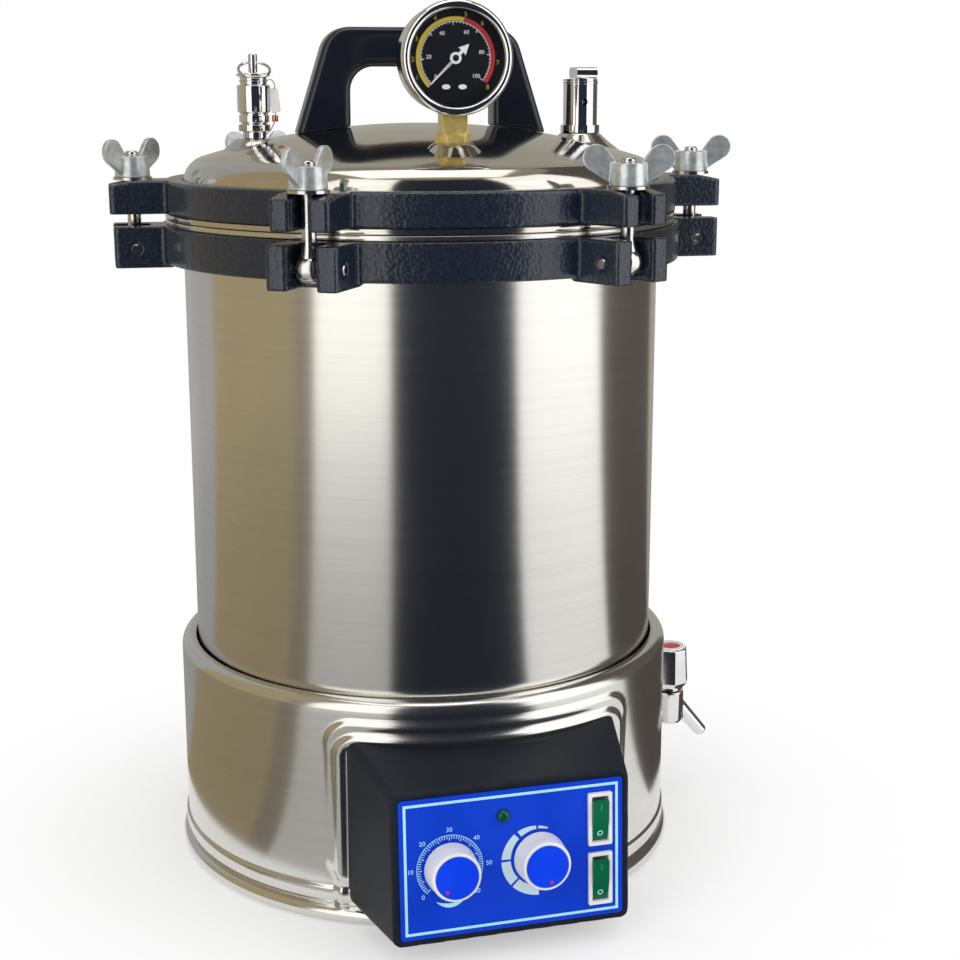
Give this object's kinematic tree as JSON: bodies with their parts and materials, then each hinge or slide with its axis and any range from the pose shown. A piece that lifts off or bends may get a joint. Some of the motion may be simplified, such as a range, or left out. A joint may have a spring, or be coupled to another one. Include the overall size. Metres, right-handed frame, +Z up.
{
  "type": "steam sterilizer",
  "caption": "Upright stainless pressure-steam sterilizer: pot on a heated base with a control box, domed lid held by swing bolts, gauge, safety and release valves, drain tap.",
  "frame": {"origin": "on the table, under the pot's axis, in the middle of the bottom cover's underside", "axes": "+Z up along the pot's axis, +X to the right along the lid's handle, -Y to the front, where the gauge faces; the base with its control box and tap is turned 4.1 degrees about +Z against the lid"},
  "size_m": [0.3825, 0.376, 0.5114],
  "materials": {
    "stainless": "finely brushed and polished, near mirror",
    "inner_stainless": "satin, as formed",
    "hammered_paint": "glossy dark navy hammer-finish paint",
    "handle_black": "glossy black moulding, soft edges",
    "box_black": "satin black",
    "panel_blue": "glossy printed blue label with pale-blue border and white marks",
    "knob_white": "glossy white moulding",
    "knob_blue": "glossy bright blue cap",
    "switch_white": "white frame",
    "rocker_green": "clear green, lit look",
    "lamp_green": "clear green lens",
    "device_grey": "moulded grey",
    "steel": "turned and plated steel",
    "zinc": "die-cast, slightly rough",
    "chrome": "polished chrome",
    "brass": "machined, bright edges",
    "rubber": "moulded silicone",
    "dial_black": "matt black with plain numbers",
    "pointer_white": "white enamel",
    "clear_glass": "clear",
    "copper": "crimped copper ferrule",
    "tap_red": "glossy red disc",
    "print_pale": "pale-blue and grey-white printed marks",
    "dial_yellow": "printed yellow scale",
    "dial_red": "printed red scale",
    "seal_film": "clear pinkish seal tag"
  },
  "bodies": {
    "root": {"vessel": "stainless", "base_skirt": "stainless", "bottom_cover": "inner_stainless", "lower_clamp_ring": "hammered_paint", "hinge_pins": "steel", "control_box": "box_black", "front_panel": "panel_blue", "timer_unit": "device_grey", "thermostat_unit": "device_grey", "indicator_lamp": "lamp_green", "switch_bodies": "switch_white", "heating_element": "inner_stainless", "support_plate": "inner_stainless", "tap_body": "chrome", "drain_pipe": "inner_stainless", "cable_gland": "box_black"},
    "lid": {"lid": "stainless", "lid_gasket": "rubber", "upper_clamp_ring": "hammered_paint", "handle": "handle_black", "handle_screws": "steel", "gauge_case": "chrome", "gauge_bezel": "chrome", "gauge_dial": "dial_black", "gauge_glass": "clear_glass", "gauge_fitting": "brass", "safety_valve_body": "chrome", "safety_valve_spring": "steel", "release_valve_body": "chrome"},
    "basket": {"basket": "inner_stainless"},
    "bail": {"basket_bail": "inner_stainless"},
    "timer_knob": {"timer_knob": "knob_white", "timer_knob_cap": "knob_blue"},
    "temperature_knob": {"temperature_knob": "knob_white", "temperature_knob_cap": "knob_blue"},
    "rocker_upper": {"rocker_upper": "rocker_green"},
    "rocker_lower": {"rocker_lower": "rocker_green"},
    "tap_knob": {"tap_knob": "chrome"},
    "gauge_pointer": {"gauge_pointer": "pointer_white"},
    "safety_valve_stem": {"safety_valve_stem": "chrome"},
    "safety_pull_ring": {"safety_pull_ring": "steel"},
    "release_valve_lever": {"release_valve_lever": "chrome"},
    "eye_bolt_1": {"eye_bolt_1": "steel"},
    "washer_1": {"washer_1": "steel"},
    "wing_nut_1": {"wing_nut_1": "zinc"},
    "eye_bolt_2": {"eye_bolt_2": "steel"},
    "washer_2": {"washer_2": "steel"},
    "wing_nut_2": {"wing_nut_2": "zinc"},
    "eye_bolt_3": {"eye_bolt_3": "steel"},
    "washer_3": {"washer_3": "steel"},
    "wing_nut_3": {"wing_nut_3": "zinc"},
    "eye_bolt_4": {"eye_bolt_4": "steel"},
    "washer_4": {"washer_4": "steel"},
    "wing_nut_4": {"wing_nut_4": "zinc"},
    "eye_bolt_5": {"eye_bolt_5": "steel"},
    "washer_5": {"washer_5": "steel"},
    "wing_nut_5": {"wing_nut_5": "zinc"},
    "eye_bolt_6": {"eye_bolt_6": "steel"},
    "washer_6": {"washer_6": "steel"},
    "wing_nut_6": {"wing_nut_6": "zinc"}
  },
  "joints": [
    {"name": "lid_lift", "type": "slide", "parent": "root", "child": "lid", "axis": [0, 0, 1], "range_m": [0, 0.64]},
    {"name": "basket_lift", "type": "slide", "parent": "root", "child": "basket", "axis": [0, 0, 1], "range_m": [0, 0.32]},
    {"name": "bail_swing", "type": "hinge", "parent": "basket", "child": "bail", "pos_m": [0, 0, 0.3052], "axis": [-1, 0, 0], "range_deg": [0, 180]},
    {"name": "eye_bolt_1_swing", "type": "hinge", "parent": "root", "child": "eye_bolt_1", "pos_m": [0.1699, 0, 0.375], "axis": [0, 1, 0], "range_deg": [0, 165]},
    {"name": "washer_1_slide", "type": "slide", "parent": "eye_bolt_1", "child": "washer_1", "axis": [0, 0, 1], "range_m": [0, 0.0038]},
    {"name": "wing_nut_1_spin", "type": "hinge", "parent": "washer_1", "child": "wing_nut_1", "pos_m": [0.1699, 0, 0.4204], "axis": [0, 0, 1], "range_deg": [0, 1080]},
    {"name": "eye_bolt_2_swing", "type": "hinge", "parent": "root", "child": "eye_bolt_2", "pos_m": [0.08495, 0.14714, 0.375], "axis": [-0.866, 0.5, 0], "range_deg": [0, 165]},
    {"name": "washer_2_slide", "type": "slide", "parent": "eye_bolt_2", "child": "washer_2", "axis": [0, 0, 1], "range_m": [0, 0.0038]},
    {"name": "wing_nut_2_spin", "type": "hinge", "parent": "washer_2", "child": "wing_nut_2", "pos_m": [0.08495, 0.14714, 0.4204], "axis": [0, 0, 1], "range_deg": [0, 1080]},
    {"name": "eye_bolt_3_swing", "type": "hinge", "parent": "root", "child": "eye_bolt_3", "pos_m": [-0.08495, 0.14714, 0.375], "axis": [-0.866, -0.5, 0], "range_deg": [0, 165]},
    {"name": "washer_3_slide", "type": "slide", "parent": "eye_bolt_3", "child": "washer_3", "axis": [0, 0, 1], "range_m": [0, 0.0038]},
    {"name": "wing_nut_3_spin", "type": "hinge", "parent": "washer_3", "child": "wing_nut_3", "pos_m": [-0.08495, 0.14714, 0.4204], "axis": [0, 0, 1], "range_deg": [0, 1080]},
    {"name": "eye_bolt_4_swing", "type": "hinge", "parent": "root", "child": "eye_bolt_4", "pos_m": [-0.1699, 0, 0.375], "axis": [0, -1, 0], "range_deg": [0, 165]},
    {"name": "washer_4_slide", "type": "slide", "parent": "eye_bolt_4", "child": "washer_4", "axis": [0, 0, 1], "range_m": [0, 0.0038]},
    {"name": "wing_nut_4_spin", "type": "hinge", "parent": "washer_4", "child": "wing_nut_4", "pos_m": [-0.1699, 0, 0.4204], "axis": [0, 0, 1], "range_deg": [0, 1080]},
    {"name": "eye_bolt_5_swing", "type": "hinge", "parent": "root", "child": "eye_bolt_5", "pos_m": [-0.08495, -0.14714, 0.375], "axis": [0.866, -0.5, 0], "range_deg": [0, 165]},
    {"name": "washer_5_slide", "type": "slide", "parent": "eye_bolt_5", "child": "washer_5", "axis": [0, 0, 1], "range_m": [0, 0.0038]},
    {"name": "wing_nut_5_spin", "type": "hinge", "parent": "washer_5", "child": "wing_nut_5", "pos_m": [-0.08495, -0.14714, 0.4204], "axis": [0, 0, 1], "range_deg": [0, 1080]},
    {"name": "eye_bolt_6_swing", "type": "hinge", "parent": "root", "child": "eye_bolt_6", "pos_m": [0.08495, -0.14714, 0.375], "axis": [0.866, 0.5, 0], "range_deg": [0, 165]},
    {"name": "washer_6_slide", "type": "slide", "parent": "eye_bolt_6", "child": "washer_6", "axis": [0, 0, 1], "range_m": [0, 0.0038]},
    {"name": "wing_nut_6_spin", "type": "hinge", "parent": "washer_6", "child": "wing_nut_6", "pos_m": [0.08495, -0.14714, 0.4204], "axis": [0, 0, 1], "range_deg": [0, 1080]},
    {"name": "timer_turn", "type": "hinge", "parent": "root", "child": "timer_knob", "pos_m": [-0.02139, -0.19807, 0.05674], "axis": [-0.0714, 0.9959, -0.0558], "range_deg": [0, 270]},
    {"name": "temperature_turn", "type": "hinge", "parent": "root", "child": "temperature_knob", "pos_m": [0.02898, -0.19447, 0.05654], "axis": [-0.0714, 0.9959, -0.0558], "range_deg": [0, 270]},
    {"name": "rocker_upper_rock", "type": "hinge", "parent": "root", "child": "rocker_upper", "pos_m": [0.06322, -0.1813, 0.07387], "axis": [-0.9974, -0.0715, 0], "range_deg": [0, 20]},
    {"name": "rocker_lower_rock", "type": "hinge", "parent": "root", "child": "rocker_lower", "pos_m": [0.06336, -0.18322, 0.03952], "axis": [-0.9974, -0.0715, 0], "range_deg": [0, 20]},
    {"name": "tap_turn", "type": "hinge", "parent": "root", "child": "tap_knob", "pos_m": [0.16907, 0.01212, 0.075], "axis": [0, 0, 1], "range_deg": [0, 90]},
    {"name": "pointer_turn", "type": "hinge", "parent": "lid", "child": "gauge_pointer", "pos_m": [0, -0.1076, 0.4811], "axis": [0, 1, 0], "range_deg": [0, 270]},
    {"name": "safety_stem_lift", "type": "slide", "parent": "lid", "child": "safety_valve_stem", "axis": [0, 0, 1], "range_m": [0, 0.0025], "stiffness_N_per_m": 400, "deforming": ["safety_valve_spring"]},
    {"name": "pull_ring_swing", "type": "hinge", "parent": "safety_valve_stem", "child": "safety_pull_ring", "pos_m": [-0.0986, 0, 0.48], "axis": [-1, 0, 0], "range_deg": [0, 115]},
    {"name": "release_lever_lift", "type": "hinge", "parent": "lid", "child": "release_valve_lever", "pos_m": [0.0986, 0, 0.474], "axis": [-1, 0, 0], "range_deg": [0, 90]}
  ],
  "couplings": [
    {"joint": "basket_lift", "follows": "lid_lift", "ratio": 0.5},
    {"joint": "washer_1_slide", "follows": "wing_nut_1_spin", "m_per_rad": 0.00019894},
    {"joint": "washer_2_slide", "follows": "wing_nut_2_spin", "m_per_rad": 0.00019894},
    {"joint": "washer_3_slide", "follows": "wing_nut_3_spin", "m_per_rad": 0.00019894},
    {"joint": "washer_4_slide", "follows": "wing_nut_4_spin", "m_per_rad": 0.00019894},
    {"joint": "washer_5_slide", "follows": "wing_nut_5_spin", "m_per_rad": 0.00019894},
    {"joint": "washer_6_slide", "follows": "wing_nut_6_spin", "m_per_rad": 0.00019894}
  ]
}
